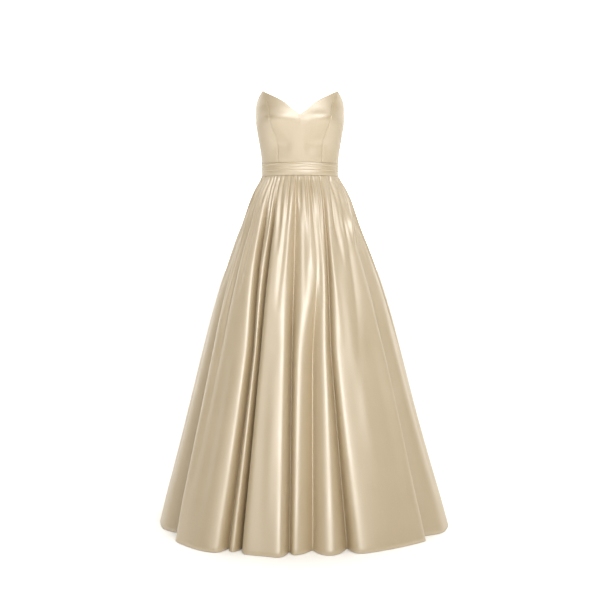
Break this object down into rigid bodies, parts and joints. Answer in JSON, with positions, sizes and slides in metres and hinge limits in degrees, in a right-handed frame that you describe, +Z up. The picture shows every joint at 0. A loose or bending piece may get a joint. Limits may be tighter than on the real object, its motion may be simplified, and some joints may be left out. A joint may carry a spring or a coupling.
{
  "type": "ball gown",
  "caption": "Strapless satin ball gown with a pointed sweetheart bodice, a draped waistband, a full gathered skirt and side seam pockets.",
  "frame": {"origin": "centre of the waist seam, where the gown is held on the wearer's waist", "axes": "+Z up along the wearer's body, -Y the way the wearer faces, +X to the wearer's left"},
  "size_m": [0.9634, 0.9412, 1.4274],
  "materials": {
    "satin": "satin sheen, champagne",
    "pocket_lining": "smooth lining cloth, champagne",
    "zip_tape": "woven tape, matt",
    "brass": "lightly polished"
  },
  "bodies": {
    "gown": {"bodice_front_centre": "satin", "bodice_front_right": "satin", "bodice_front_left": "satin", "bodice_back_right": "satin", "bodice_back_left": "satin", "bodice_back_centre_right": "satin", "bodice_back_centre_left": "satin", "waistband_front": "satin", "waistband_back_right": "satin", "waistband_back_left": "satin", "skirt_front": "satin", "skirt_back_right": "satin", "skirt_back_left": "satin", "pocket_right": "pocket_lining", "pocket_left": "pocket_lining", "zip_tape": "zip_tape", "zip_slider": "brass"},
    "pull": {"zip_pull": "brass"}
  },
  "joints": [
    {"name": "pull_swing", "type": "hinge", "parent": "gown", "child": "pull", "pos_m": [0, 0.10585, 0.16161], "axis": [1, 0, 0], "range_deg": [0, 150]}
  ]
}
